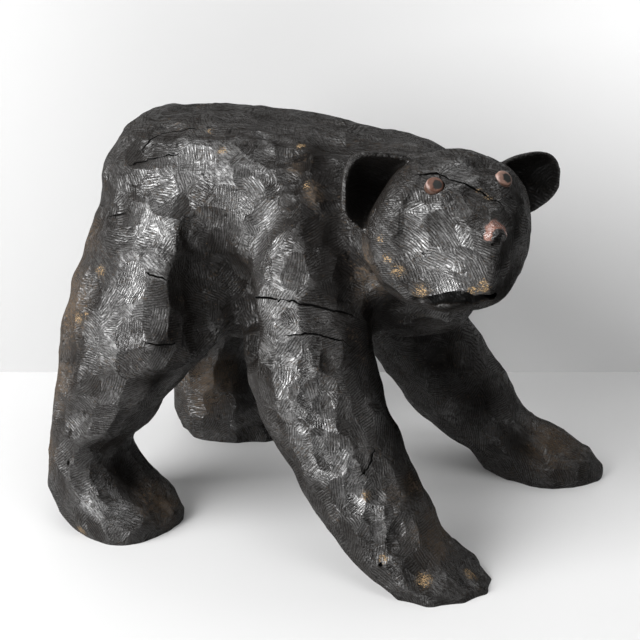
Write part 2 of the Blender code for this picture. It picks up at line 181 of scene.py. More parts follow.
RIGHT_FORE_LEG = (
    (650, -42, 112, -122, 30), (600, -64, 137, -162, 20), (540, -80, 148, -197, 5),
    (480, -86, 150, -225, -10), (400, -84, 144, -244, -38), (340, -79, 149, -252, -58),
    (280, -70, 168, -260, -70), (220, -43, 197, -267, -80), (160, 0, 227, -273, -90),
    (110, 35, 260, -279, -96), (70, 71, 281, -286, -100), (35, 111, 311, -296, -102),
    (10, 149, 354, -300, -104), (-SOLE_DROP, 192, 376, -298, -112),
)
LEFT_FORE_LEG = (
    (650, -30, 130, -20, 120), (600, -45, 155, -15, 160), (540, -52, 168, 0, 195), (470, -50, 180, 12, 226),
    (400, -44, 192, 38, 243), (330, -26, 206, 67, 256), (270, -8, 236, 87, 270), (200, 32, 279, 105, 287),
    (150, 66, 304, 117, 299), (100, 104, 342, 127, 307), (60, 150, 427, 135, 311), (25, 213, 475, 136, 311),
    (-SOLE_DROP, 254, 468, 140, 306),
)
# Stations of the torso, from the rump: forward, right, left, bottom, top.
TORSO = (
    (-373, -30, 30, 480, 545), (-367, -80, 80, 440, 584), (-353, -130, 130, 390, 640),
    (-308, -170, 170, 340, 680), (-240, -182, 182, 312, 688), (-150, -184, 182, 292, 690),
    (-50, -180, 178, 292, 684), (50, -162, 174, 306, 671), (130, -142, 170, 325, 656),
    (200, -120, 150, 332, 630), (245, -92, 112, 352, 592), (268, -62, 70, 395, 548),
    (276, -25, 25, 445, 495),
)
# The neck's and the head's, both in the head's frame: forward, right, left, bottom, top.
NECK = (
    (-250, -120, 120, -190, 95), (-170, -125, 120, -170, 96), (-100, -115, 112, -140, 92),
    (-30, -100, 100, -110, 88),
)
HEAD = (
    (-115, -75, 80, -85, 74), (-70, -112, 110, -106, 104), (-20, -126, 125, -114, 117),
    (20, -124, 122, -113, 115), (50, -106, 107, -109, 107), (75, -84, 86, -102, 94),
    (100, -58, 62, -86, 75), (122, -37, 41, -63, 56), (140, -24, 24, -30, 44), (150, -12, 12, -5, 34),
)

# Drying cracks along the log: half width, points.
BODY_CRACKS = (
    (1.2, (-279, -157, 607), (-252, -148, 617), (-217, -146, 628), (-182, -140, 631)),
    (1.2, (-272, -145, 622), (-238, -112, 656), (-198, -107, 665), (-166, -99, 668)),
    (1.4, (-211, -238, 462), (-183, -238, 455), (-167, -224, 446)),
    (1.5, (-87, -160, 406), (-20, -219, 436), (31, -228, 441),
     (58, -223, 436), (107, -200, 422), (132, -179, 406)),
    (1.2, (20, -244, 388), (47, -241, 391), (70, -230, 392), (100, -211, 381), (124, -191, 367)),
    (1.6, (168, -224, 220), (167, -238, 191), (155, -254, 175)),
    (1.5, (-209, -266, 356), (-175, -256, 351), (-154, -240, 349)),
    (1.0, (-306, -184, 527), (-267, -183, 540)),
    (1.6, (-250, 190, 560), (-150, 190, 575), (-30, 185, 570), (60, 178, 560)),
    (1.2, (-180, 190, 470), (-90, 185, 462), (20, 195, 470)),
    (1.6, (-60, 240, 400), (20, 250, 392), (90, 235, 398)),
    (1.6, (-370, -90, 560), (-378, -20, 530), (-374, 50, 520)),
    (1.6, (-376, 10, 600), (-378, -5, 540), (-370, 8, 480)),
    (1.3, (-200, -20, 690), (-60, 10, 690), (60, 30, 680)),
    (1.1, (-120, 60, 690), (20, 75, 680), (120, 70, 662)),
    (1.4, (250, 60, 520), (262, 90, 470), (240, 110, 420)),
)
HEAD_CRACKS = (
    (1.6, (31, -77, 89), (37, -61, 93), (49, -43, 97), (59, -32, 92),
     (79, -1, 76), (91, 13, 69), (102, 26, 63), (110, 31, 48)),
    (1.1, (60, 80, 20), (80, 60, 0), (95, 45, -20)),
)
CRACK_KINKS = 0.8
CRACK_REACH = 12

# Knots and drilled holes.
BODY_PITS = ((203, -285, 52, 4), (-342, -295, 130, 4), (158, -260, 168, 4))
HEAD_PITS = ((64, -70, -11, 4),)
# Where the stain is broken off and bare wood shows.
HEAD_CHIPS = (
    (119, -3, -50, 12), (108, -14, -57, 9), (52, -66, -68, 14), (32, -95, -42, 12), (26, -105, -25, 9),
    (80, 2, 76, 5), (91, 13, 69, 6), (20, -115, 2, 7), (-35, 172, 60, 10),
)
BODY_CHIPS = (
    (268, -268, 30, 16), (206, -281, 60, 9), (-336, -246, 371, 12), (-318, -250, 380, 7),
    (-320, -305, 12, 12), (430, 210, 20, 14), (170, -256, 150, 12), (-158, -101, 664, 6),
    (-117, -136, 641, 8), (30, -155, 601, 8), (2, -106, 652, 8), (328, -214, 19, 14), (-296, -228, 451, 10),
)
# Where the stain is thin and brown.
BROWN_PATCHES = (
    (4, -140, 624, 20), (44, -158, 588, 22), (155, -225, 520, 50), (150, -180, 460, 45),
    (-375, -220, 380, 90), (-385, -180, 480, 90), (-390, -230, 250, 80), (-400, -240, 130, 70),
    (250, -200, 60, 70), (200, -190, 130, 55), (-210, -220, 50, 60), (380, 200, 60, 80),
    (-300, 130, 120, 90),
)
# Painted shade: where the stain is painted a matt black with less sheen, for the shade in the folds, under
# the chin and on the sides turned from the light.
BODY_PAINTED_SHADE = (
    (-110, -165, 470, 75), (-100, -160, 390, 80), (-60, -170, 330, 60), (-162, -229, 417, 44),
    (-169, -254, 358, 44), (-193, -251, 284, 50), (26, -128, 648, 62), (50, -155, 600, 84),
    (70, -181, 541, 74), (98, -185, 499, 60), (96, -202, 456, 60), (130, -184, 374, 70),
    (160, -155, 299, 80), (195, -180, 229, 70), (228, -196, 156, 60), (150, -130, 400, 90),
    (190, -110, 330, 90), (130, 90, 330, 110), (183, 112, 236, 90), (253, 141, 157, 80), (328, 157, 82, 60),
    (-281, -234, 97, 50), (-262, -243, 85, 50), (-244, 174, 107, 110), (-200, 0, 250, 110),
)
HEAD_PAINTED_SHADE = (
    (98, -25, -92, 42), (70, -55, -104, 34), (10, -60, -125, 50), (118, 22, -60, 40), (127, 20, -12, 34),
    (104, 48, 21, 54), (89, 47, -62, 50), (75, 71, 55, 44),
)
# Where hands and years have polished it.
BODY_POLISH = (
    (-178, -146, 623, 50), (-205, -163, 600, 60), (-214, -190, 550, 60), (-221, -220, 490, 60),
    (-232, -254, 416, 55), (-270, -269, 349, 55), (-125, -146, 630, 60), (-75, -160, 600, 60),
    (-50, -172, 540, 60), (-16, -205, 489, 50), (4, -227, 453, 50), (28, -239, 404, 50),
    (39, -242, 349, 50), (57, -254, 299, 50), (80, -256, 245, 50), (119, -258, 193, 46),
    (152, -259, 148, 42), (187, -265, 107, 36), (-286, -293, 69, 44), (-264, -294, 48, 36),
    (-60, 185, 590, 90), (20, 235, 420, 90), (90, 265, 250, 80), (-270, 230, 430, 90),
)
HEAD_POLISH = (
    (73, -65, 45, 46), (70, -60, 8, 60), (97, -30, -15, 46), (86, -42, -46, 40), (60, -20, 100, 40),
)
# Worn reddish stain on the nose's bridge.
NOSE_TINT = ((132, -7, 39, 10), (130, 5, 43, 12), (133, 17, 37, 10), (135, -11, 27, 8), (134, 18, 27, 7))

# Colours of the wood and its stain, and of the shade and highlight painted on them.
BLACK_STAIN = (0.0092, 0.0080, 0.0072)
# Painted shade: the black for the shaded folds and for the chain's grooves.
PAINTED_SHADE_BLACK = (0.0035, 0.0032, 0.0030)
BROWN_STAIN = (0.048, 0.036, 0.026)
RED_STAIN = (0.125, 0.046, 0.028)
BARE_WOOD = (0.25, 0.155, 0.075)
PALE_WOOD = (0.50, 0.36, 0.20)
# Black of the cracks, and of the shade painted into deep cuts and the ears' cups.
CRACK_AND_SHADE_BLACK = (0.002, 0.002, 0.002)
PLUG_BROWNS = ((0.045, 0.021, 0.014), (0.14, 0.062, 0.040))
PALE_BROWNS = ((0.15, 0.09, 0.068), (0.32, 0.20, 0.16))
# Painted highlight for the plug's left rim.
PLUG_PAINTED_HIGHLIGHT = (0.48, 0.36, 0.33)
# Painted shade for the plug's edge in its socket.
PLUG_EDGE_SHADE = (0.05, 0.026, 0.018)
PUPIL_BLACK = (0.012, 0.013, 0.012)
CHATTER = 0.004  # metres between the lines that the chain leaves

# Where the camera is, in metres, and its tilt and turn.
CAMERA_PLACE = (0.61, -1.6735, 0.98)
CAMERA_TILT = math.radians(70)
CAMERA_TURN = math.radians(21)
CAMERA_LENS = 61.8
WALL_BEHIND = 0.56

# Matrices to metres, with the middle of the bear's box over the origin: from the tables' units, and from the
# head's forward, left and up in units.
BODY_FRAME = Matrix.Translation(Vector(MIDDLE) * -UNIT) @ Matrix.Scale(UNIT, 4)
HEAD_FRAME = BODY_FRAME @ Matrix.Translation(HEAD_CENTRE) @ Matrix.Rotation(HEAD_TURN, 4, "Z")

# The masses: levels, axis, frame, the squareness of the section and its turn in degrees, and strokes.
MASSES = (
    (TORSO, 0, BODY_FRAME, (2.5, 0), TORSO_STROKE),
    (RIGHT_HIND_LEG, 2, BODY_FRAME, (2.7, -20), LEG_STROKE),
    (LEFT_HIND_LEG, 2, BODY_FRAME, (2.7, 20), LEG_STROKE),
    (RIGHT_FORE_LEG, 2, BODY_FRAME, (2.7, 37), LEG_STROKE),
    (LEFT_FORE_LEG, 2, BODY_FRAME, (2.5, -37), LEG_STROKE),
    (NECK, 0, HEAD_FRAME, (2.1, 0), LEG_STROKE),
    (HEAD, 0, HEAD_FRAME, (2.3, 0), HEAD_STROKE),
)


def lengths(ways):
    return np.linalg.norm(ways, axis=-1)


def moved(points, place):
    turn = np.array(place)
    return np.asarray(points, float) @ turn[:3, :3].T + turn[:3, 3]


def along(table, steps):
    """The table's rows with rows between them on a Catmull-Rom curve."""
    table = np.array(table, float)
    ends = np.vstack([2 * table[0] - table[1], table, 2 * table[-1] - table[-2]])
    before, start, end, after = ends[:-3], ends[1:-2], ends[2:-1], ends[3:]
    t = (np.arange(steps) / steps)[:, None, None]
    between = (
        start
        + 0.5 * t * (end - before)
        + t * t * (before - 2.5 * start + 2 * end - 0.5 * after)
        + t**3 * (1.5 * (start - end) + 0.5 * (after - before))
    )
    return np.vstack([between.transpose(1, 0, 2).reshape(-1, table.shape[1]), table[-1]])


def oval(sides, squareness=2, degrees=0):
    """Points round |x|^p + |y|^p = 1, where p is the squareness, turned and then set to reach 1 each way."""
    turned = math.radians(degrees)
    angle = np.arange(sides) * 2 * math.pi / sides - turned
    circle = np.stack([np.cos(angle), np.sin(angle)])
    ahead, across = np.sign(circle) * np.abs(circle) ** (2 / squareness)
    cos, sin = math.cos(turned), math.sin(turned)
    first, second = ahead * cos - across * sin, ahead * sin + across * cos
    return first / np.abs(first).max(), second / np.abs(second).max()


def rings(table, axis, place, section, steps=3, sides=28):
    """A squared ellipse at every level along the axis, through its low and high sides both ways."""
    rows = along(table, steps)
    first, second = oval(sides, *section)
    points = np.empty((len(rows), sides, 3))
    one, two = [way for way in range(3) if way != axis]
    points[:, :, axis] = rows[:, :1]
    for way, column, wave in ((one, 1, first), (two, 3, second)):
        low, high = rows[:, column, None], rows[:, column + 1, None]
        points[:, :, way] = (low + high) / 2 + (high - low) / 2 * wave
    return moved(points, place)


def turned_rings(profile, sides):
    """A profile of (forward, radius) pairs carried round the x axis."""
    ahead, radius = np.array(profile, float).T[:, :, None]
    first, second = oval(sides)
    return np.stack([ahead + 0 * first, radius * first, radius * second], axis=-1)


def drooped(first, second, centre, drop, towards):
    """The ear's oval with its lower half stretched and its upper half sloping down towards the head."""
    inwards = -math.copysign(1, centre[1]) * first
    return second * np.where(second < 0, drop + towards * inwards, 1 - EAR_SLOPE * inwards)


def cup_rings(centre, turn, sizes, wall, squareness, drop, towards):
    """A bowl with a thick wall, open forwards.

    Outside, a squared oval grows as the sine and lies as far back as the cosine of an angle from the bottom
    to the rim. Inside, it lies as far back as that cosine's square, with the wall taken off.
    """
    depth, wide, tall = sizes
    angle = np.linspace(0.15, math.pi / 2, 24)
    lip = 1 - wall / wide
    spread = np.concatenate([np.sin(angle), [(1 + lip) / 2], lip * np.sin(angle[::-1])])
    inner = -(depth - wall) * np.cos(angle[::-1]) ** 2
    ahead = np.concatenate([-depth * np.cos(angle), [wall * 0.35], inner])
    first, second = oval(64, squareness)
    second = drooped(first, second, centre, drop, towards)
    first, second = spread[:, None] * wide * first, spread[:, None] * tall * second
    flat = np.stack([ahead[:, None] + 0 * first, first, second], axis=-1)
    return moved(flat, HEAD_FRAME @ Matrix.Translation(centre) @ Matrix.Rotation(turn, 4, "Z"))


def ball_rings(centre, sizes, place):
    """An ellipsoid: circles whose radius is the sine of the angle from its back, scaled along each axis."""
    angle = np.linspace(0.12, math.pi - 0.12, 20)
    ball = turned_rings(np.stack([-np.cos(angle), np.sin(angle)], axis=1), 32)
    return moved(ball * sizes + centre, place)


def mesh_of(name, loops):
    """A closed mesh through a grid of rings: quads between neighbours and a flat face over each end."""
    index = np.arange(loops[..., 0].size).reshape(loops.shape[:2])
    ahead = np.roll(index, -1, axis=1)
    quads = np.stack([index[:-1], ahead[:-1], ahead[1:], index[1:]], axis=-1).reshape(-1, 4)
    mesh = bpy.data.meshes.new(name)
    mesh.from_pydata(loops.reshape(-1, 3), [], quads.tolist() + [index[0, ::-1].tolist(), index[-1].tolist()])
    faced = bmesh.new()
    faced.from_mesh(mesh)
    bmesh.ops.recalc_face_normals(faced, faces=faced.faces)
    faced.to_mesh(mesh)
    faced.free()
    return mesh


def sawn(mesh):
    """The head's convex mesh cut flat by planes, each given by a point and an outward normal."""
    made = bmesh.new()
    made.from_mesh(mesh)
    turn = HEAD_FRAME.to_3x3().normalized()
    for point, normal in FACE_CUTS:
        whole = made.verts[:] + made.edges[:] + made.faces[:]
        plane = {"plane_co": HEAD_FRAME @ Vector(point), "plane_no": turn @ Vector(normal)}
        bmesh.ops.bisect_plane(made, geom=whole, clear_outer=True, **plane)
        bmesh.ops.holes_fill(made, edges=[edge for edge in made.edges if edge.is_boundary])
    bmesh.ops.recalc_face_normals(made, faces=made.faces)
    made.to_mesh(mesh)
    made.free()


def in_scene(name, data):
    made = bpy.data.objects.new(name, data)
    bpy.context.scene.collection.objects.link(made)
    return made


def modified(mesh, *steps):
    """The mesh after modifiers, each given by its type and settings."""
    obj = in_scene("working", mesh)
    for kind, settings in steps:
        modifier = obj.modifiers.new(kind.lower(), kind)
        for setting, value in settings.items():
            setattr(modifier, setting, value)
    made = bpy.data.meshes.new_from_object(obj.evaluated_get(bpy.context.evaluated_depsgraph_get()))
    bpy.data.objects.remove(obj)
    return made


def blended(meshes, voxel, smoothing):
    """One smooth skin round all the meshes."""
    whole = bmesh.new()
    for mesh in meshes:
        whole.from_mesh(mesh)
    joined = bpy.data.meshes.new("joined")
    whole.to_mesh(joined)
    whole.free()
    remesh = ("REMESH", {"mode": "VOXEL", "voxel_size": voxel * UNIT})
    return modified(joined, remesh, ("SMOOTH", {"factor": 0.5, "iterations": smoothing}))


def read(items, name, width=1, kind=np.int32):
    """An attribute of all the items, such as vertices, as an array."""
    values = np.empty(len(items) * width, kind)
    items.foreach_get(name, values)
    return values.reshape(-1, width) if width > 1 else values


def places_of(mesh):
    """The vertices' places and normals."""
    return [read(mesh.vertices, name, 3, np.float32).astype(float) for name in ("co", "normal")]


def put(mesh, points):
    mesh.vertices.foreach_set("co", points.ravel())
    mesh.update()


def noise(points, size, seed):
    """Smooth values from -1 to 1: random numbers on a lattice of this size, blended by a smoothstep."""
    cell = points / (np.asarray(size, float) * UNIT)
    corner = np.floor(cell).astype(int)
    part = cell - corner
    part = part * part * (3 - 2 * part)
    lattice = np.random.default_rng(seed).uniform(-1, 1, (32, 32, 32))
    total = np.zeros(len(points))
    for step in np.ndindex(2, 2, 2):
        share = np.where(step, part, 1 - part).prod(axis=1)
        total += share * lattice[tuple(((corner + step) % 32).T)]
    return total


def nearest(points, among, cell, tries=4):
    """For each point, the index of the closest of the others in the cells round it, and how far it is."""
    low = np.minimum(points.min(axis=0), among.min(axis=0)) - 2 * cell
    spans = ((np.maximum(points.max(axis=0), among.max(axis=0)) - low) / cell).astype(int) + 3
    strides = np.array([spans[1] * spans[2], spans[2], 1])
    keys = ((among - low) / cell).astype(int) @ strides
    order = np.argsort(keys, kind="stable")
    keys = keys[order]
    home = ((points - low) / cell).astype(int)
    best = np.full(len(points), np.inf)
    found = np.zeros(len(points), int)
    for step in np.ndindex(3, 3, 3):
        wanted = (home + step - 1) @ strides
        first = np.searchsorted(keys, wanted)
        for turn in range(tries):
            at = np.minimum(first + turn, len(keys) - 1)
            away = lengths(points - among[order[at]])
            closer = (keys[at] == wanted) & (away < best)
            best[closer], found[closer] = away[closer], order[at[closer]]
    return found, best


def around(mesh):
    """The two ends of every edge, both ways round, and how many neighbours each vertex has."""
    ends = read(mesh.edges, "vertices", 2)
    one, two = np.concatenate([ends, ends[:, ::-1]]).T
    return one, two, np.bincount(one, minlength=len(mesh.vertices))


def averaged(mesh, values, rounds):
    """Values averaged with their neighbours."""
    one, two, count = around(mesh)
    for _ in range(rounds):
        values = (values + np.bincount(one, values[two], len(values)) / count) / 2
    return values


def openness(mesh):
    """1 where the skin is flat or bulges, down to 0 in a crease, where a blade can't reach."""
    points, normals = places_of(mesh)
    one, two, count = around(mesh)
    dip = np.bincount(one, ((points[two] - points[one]) * normals[one]).sum(axis=1), len(points))
    dip /= FUSE_VOXEL * UNIT
    for _ in range(CREASE_SPREAD):
        dip = np.maximum(dip, np.bincount(one, dip[two], len(points)) / count)
    return np.clip((CREASE - dip) / CREASE * 1.5, 0, 1)


def rows_of_strokes(loops, width, length, rng):
    """Places and directions of strokes in rows round a limb, from its fine rings."""
    found = []
    run = lengths(np.diff(loops, axis=0)).mean(axis=1)
    reached = np.concatenate([[0], np.cumsum(run)])
    rounds, sides = loops.shape[:2]
    for step in np.arange(length / 2, reached[-1], length):
        at = min(int(np.searchsorted(reached, step)), rounds - 2)
        girth = lengths(np.roll(loops[at], 1, axis=0) - loops[at]).sum()
        count = max(5, round(girth / width))
        for turn in (np.arange(count) + rng.uniform() + rng.uniform(-0.22, 0.22, count)) / count:
            side = int(turn * sides) % sides
            place = min(max(at + round(rng.uniform(-0.3, 0.3) * length / run.mean()), 1), rounds - 2)
            way = loops[place + 1, side] - loops[place - 1, side]
            found.append((loops[place, side], way / np.linalg.norm(way)))
    return found


def leaned(way, normal, lean, least=1e-9):
    """A way laid along the skin and turned on it. The least length is for a way along the normal."""
    way = way - normal * (way @ normal)
    way /= np.linalg.norm(way) + least
    return way * math.cos(lean) + np.cross(normal, way) * math.sin(lean)


def short_stroke(points, normals, at, way, shape, rng):
    """A stroke at one point of the skin: its width, length, depth and lean are drawn at random."""
    *sizes, stray, share = shape
    width, length, depth = (rng.uniform(*span) * UNIT for span in sizes)
    way = leaned(way, normals[at], rng.normal(0, stray))
    bends = (length**2 / (8 * depth), width**2 / (8 * depth))
    return (points[at], normals[at], way, depth, *bends, share * length)


def dents(points, normals, rng):
    """Short deep strokes in rows across the chains, each along its own chain."""
    strokes = []
    for stray, count, *path in DENT_CHAINS:
        line = moved(along(path, 12), BODY_FRAME)
        reached = np.concatenate([[0], np.cumsum(lengths(np.diff(line, axis=0)))])
        steps = np.linspace(0.03, 0.97, count) * reached[-1]
        picks = np.clip(np.searchsorted(reached, steps), 1, len(line) - 2)
        seeds = np.stack([np.interp(steps, reached, line[:, way]) for way in range(3)], axis=1)
        runs = line[picks + 1] - line[picks - 1]
        runs /= lengths(runs)[:, None]
        spots, _ = nearest(seeds, points, 30 * UNIT, tries=40)
        sides = np.cross(normals[spots], runs)
        lanes = np.resize((-1, 0.9, -0.1), count) * stray + rng.normal(0, 0.3 * stray, count)
        spots, away = nearest(seeds + sides * lanes[:, None] * UNIT, points, 30 * UNIT, tries=40)
        found = np.isfinite(away)
        for run, at in zip(runs[found], spots[found]):
            strokes.append(short_stroke(points, normals, at, run, DENT, rng))
    return strokes


def carved(points, normals, strokes, deepest):
    """How far each point sinks along its normal, and the number of the stroke that sinks it, or -1.

    A stroke's floor rises from its depth as the squares of the ways along and across it. A gouge follows the
    skin where this rises over its spot.
    """
    order = np.argsort(points[:, 0])
    sorted_x = points[order, 0]
    sunk = np.zeros(len(points))
    which = np.full(len(points), -1)
    for number, (spot, normal, way, depth, bend_along, bend_across, reach) in enumerate(strokes):
        first, last = np.searchsorted(sorted_x, (spot[0] - reach, spot[0] + reach))
        near = order[first:last]
        near = near[(np.abs(points[near] - spot) < reach).all(axis=1)]
        facing = normals[near] @ normal
        near, facing = near[facing > FACING], facing[facing > FACING]
        away = points[near] - spot
        inside = (away**2).sum(axis=1) < reach**2
        near, facing, away = near[inside], facing[inside], away[inside]
        run, over = away @ way, away @ np.cross(normal, way)
        rise = np.minimum(away @ normal, 0)
        floor = (run**2 / (2 * bend_along) + over**2 / (2 * bend_across) - depth - rise) / facing
        deeper = floor < sunk[near]
        sunk[near[deeper]] = floor[deeper]
        which[near[deeper]] = number
    return np.maximum(sunk, -deepest * UNIT), which


def tube_rings(path):
    """Circles square across a path on the head, through its points and radii and between them on a curve."""
    rows = along(path, 6)
    centres = rows[:, :3]
    run = np.gradient(centres, axis=0)
    run /= lengths(run)[:, None]
    up = np.array((0, 0, 1)) - run * run[:, 2:]
    up /= lengths(up)[:, None]
    first, second = oval(20)
    around_path = first[:, None] * up[:, None] + second[:, None] * np.cross(run, up)[:, None]
    return moved(centres[:, None] + rows[:, None, 3:] * around_path, HEAD_FRAME)


def rough(loops, amount, size, seed):
    """The rings with every point shifted by a smooth random amount, in units."""
    flat = loops.reshape(-1, 3)
    shift = np.stack([noise(flat, size, seed + way) for way in range(3)], axis=1)
    return loops + amount * UNIT * shift.reshape(loops.shape)


def cut_away(mesh, cutters):
    """The mesh less each closed cutter."""
    tools = [in_scene("cutter", cutter) for cutter in cutters]
    steps = [("BOOLEAN", {"operation": "DIFFERENCE", "solver": "MANIFOLD", "object": tool}) for tool in tools]
    made = modified(mesh, *steps)
    for tool in tools:
        bpy.data.objects.remove(tool)
    return made


def coarse_skin():
    """The solid's blended skin before it is carved."""
    lofts = [mesh_of("mass", rings(*mass)) for *mass, _ in MASSES]
    sawn(lofts[-1])
    skin = blended(lofts, FUSE_VOXEL, BLEND_STEPS)
    points, normals = places_of(skin)
    sunk, _ = carved(points, normals, hollow_gouges(), max(hollow[3] for hollow in HOLLOWS))
    put(skin, points + normals * sunk[:, None])
    return skin


def hollow_gouges():
    """The broad hollows, as strokes."""
    gouges = []
    for spot, normal, way, depth, half_length, half_width in HOLLOWS:
        out, ahead = Vector(normal).normalized(), Vector(way)
        ahead = (ahead - out * ahead.dot(out)).normalized()
        bends = [half**2 / (2 * depth) * UNIT for half in (half_length, half_width)]
        spot, out, ahead = map(np.array, (BODY_FRAME @ Vector(spot), out, ahead))
        gouges.append((spot, out, ahead, depth * UNIT, *bends, half_length * UNIT))
    return gouges


def coarse_strokes(skin, rng):
    """The strokes that carve the solid, laid on its skin. Those from inside another limb are left out."""
    corners, faces = [vertex.co for vertex in skin.vertices], [face.vertices[:] for face in skin.polygons]
    tree = BVHTree.FromPolygons(corners, faces)
    strokes = []
    for *mass, (width, length, swing) in MASSES:
        width, length = width * UNIT, length * UNIT
        for place, way in rows_of_strokes(rings(*mass, steps=14, sides=120), width, length, rng):
            spot, normal, _, away = tree.find_nearest(Vector(place))
            depth = rng.uniform(*STROKE_DEPTH) * UNIT
            lean = rng.uniform(-swing, swing)
            bend_across = HOLLOW * width * rng.uniform(0.8, 1.3)
            if away > STROKE_DRIFT * UNIT:
                continue
            normal = np.array(normal)
            way = leaned(way, normal, lean, 0)
            bend_along = (length * 0.55) ** 2 / (2 * depth)
            strokes.append((np.array(spot), normal, way, depth, bend_along, bend_across, 0.9 * length))
    return strokes


def fine_skin(skin):
    """The blended skin in small faces, with the ears and the nose fused to it."""
    features = [mesh_of("ear", cup_rings(*ear)) for ear in EARS]
    features.append(mesh_of("nose", ball_rings(*NOSE, HEAD_FRAME)))
    smooth = modified(skin, ("SUBSURF", {"levels": 1, "render_levels": 1}))
    return blended([smooth] + features, SKIN_VOXEL, SKIN_STEPS)


def ear_signals(points):
    """Two signals from 0 to 1: on and in the ears, and on the bowls' inner faces.

    The first is in a squared ellipsoid round each bowl. The second is in its squared oval, near its floor.
    """
    on, inner = np.zeros((2, len(points)))
    for centre, turn, (depth, wide, tall), wall, squareness, drop, towards in EARS:
        place = HEAD_FRAME @ Matrix.Translation(centre) @ Matrix.Rotation(turn, 4, "Z")
        ahead, across, up = moved(points, place.inverted()).T
        slope = drooped(np.clip(across / wide, -1, 1), np.sign(up), centre, drop, towards)
        up = np.abs(up / (tall * np.maximum(slope * np.sign(up), 0.1)))
        size = np.abs(across / wide) ** squareness + up**squareness
        on = np.maximum(on, np.clip((1.25 - (size + (ahead / depth) ** 2)) / 0.15, 0, 1))
        floor = (wall - depth) * np.clip(1 - size, 0, 1)
        above = np.clip((ahead - floor + 4) / 3, 0, 1) * (ahead < 3)
        inner = np.maximum(inner, np.clip((0.86 - size) / 0.1, 0, 1) * above)
    return on, inner


def line_signal(points, normals, lines):
    """Signed way off the nearest line over its half width, which shrinks to nothing at both ends."""
    signal = np.full(len(points), 60.0)
    for line, half in lines:
        low, high = line.min(axis=0) - CRACK_REACH * UNIT, line.max(axis=0) + CRACK_REACH * UNIT
        near = np.flatnonzero(((points > low) & (points < high)).all(axis=1))
        runs = np.diff(line, axis=0)
        away = points[near, None] - line[:-1]
        part = np.clip((away * runs).sum(axis=2) / (runs**2).sum(axis=1), 0, 1)
        off = away - part[:, :, None] * runs
        far = lengths(off)
        step = far.argmin(axis=1)
        row = np.arange(len(near))
        reached = (step + part[row, step]) / len(runs)
        side = np.sign((np.cross(runs[step], off[row, step]) * normals[near]).sum(axis=1))
        taper = np.clip(5 * np.minimum(reached, 1 - reached), 0.02, 1)
        value = np.clip(side * far[row, step] / (half * UNIT * taper), -60, 60)
        closer = np.abs(value) < np.abs(signal[near])
        signal[near[closer]] = value[closer]
    return signal


def near_balls(points, balls, place):
    """1 at a ball's middle and 0 past its edge. Where balls overlap, what each leaves is multiplied."""
    left = np.ones(len(points))
    for *centre, radius in balls:
        middle = np.array(place @ Vector(centre))
        left *= np.clip(lengths(points - middle) / (radius * UNIT), 0, 1)
    return 1 - left


def near_either(points, body_balls, head_balls):
    """The same for the body's balls and the head's, whichever is more."""
    in_body = near_balls(points, body_balls, BODY_FRAME)
    return np.maximum(in_body, near_balls(points, head_balls, HEAD_FRAME))


def carve(mesh, skin, strokes):
    """Sinks the solid's strokes and then finer ones into the small faces.

    It returns all the strokes, and which one shaped each point: -1, the last, is NO_STROKE.
    """
    rng = np.random.default_rng(11)
    points, normals = places_of(mesh)
    under, _ = nearest(points, places_of(skin)[0], 12 * UNIT)
    bare = averaged(mesh, openness(skin)[under], 8) * (1 - ear_signals(points)[0])
    bite = 1 - PLANED_SHARE * np.clip(2.5 * near_either(points, BODY_PLANED, HEAD_PLANED), 0, 1)
    sunk, which = carved(points, normals, strokes, DEEPEST)
    mean = averaged(mesh, sunk, 60)
    put(mesh, points + normals * ((mean + COARSE_SHARE * bite * (sunk - mean)) * bare)[:, None])

    points, normals = places_of(mesh)
    picks = rng.choice(len(points), SMALL_COUNT, replace=False)
    ways = np.array([stroke[2] for stroke in strokes + [NO_STROKE]])
    finer = [short_stroke(points, normals, at, ways[which[at]], SMALL_STROKE, rng) for at in picks]
    finer += dents(points, normals, rng)
    sunk, which_small = carved(points, normals, finer, DEEPEST)
    which = np.where(which_small >= 0, which_small + len(strokes), which)
    grain = sum(depth * noise(points, *lumps) for depth, *lumps in GRAIN)
    weathered = sum(depth * noise(points, *lumps) for depth, *lumps in WEATHERING)
    grain += np.clip(normals[:, 2] - 0.45, 0, 0.4) * weathered * bare
    open_part, bitten = (FINE_SHARE + (1 - FINE_SHARE) * part for part in (bare, bite))
    put(mesh, points + normals * (sunk * open_part * bitten + grain * UNIT)[:, None])
    return strokes + finer + [NO_STROKE], which


def fit(mesh):
    """Sets the carving's box to the solid's, less what is under the ground."""
    points, _ = places_of(mesh)
    above = points[points[:, 2] > 0]
    low, high = np.array(cad_box)
    low_now, high_now = above.min(axis=0), above.max(axis=0)
    low_now[2] = 0
    put(mesh, (points - low_now) * (high - low) / (high_now - low_now) + low)


def eye_place(name, side):
    """The matrix of an eye, in metres: from its shoulder, x along its axis."""
    lean = Vector((1, side, 1)) * Vector(EYE_LEAN)
    axis = (HEAD_FRAME.to_3x3().normalized() @ lean).normalized()
    low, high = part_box(name)
    shoulder = (low + high) / 2 + axis * EYE_CENTRE * UNIT
    return Matrix.Translation(shoulder) @ axis.to_track_quat("X", "Z").to_matrix().to_4x4()


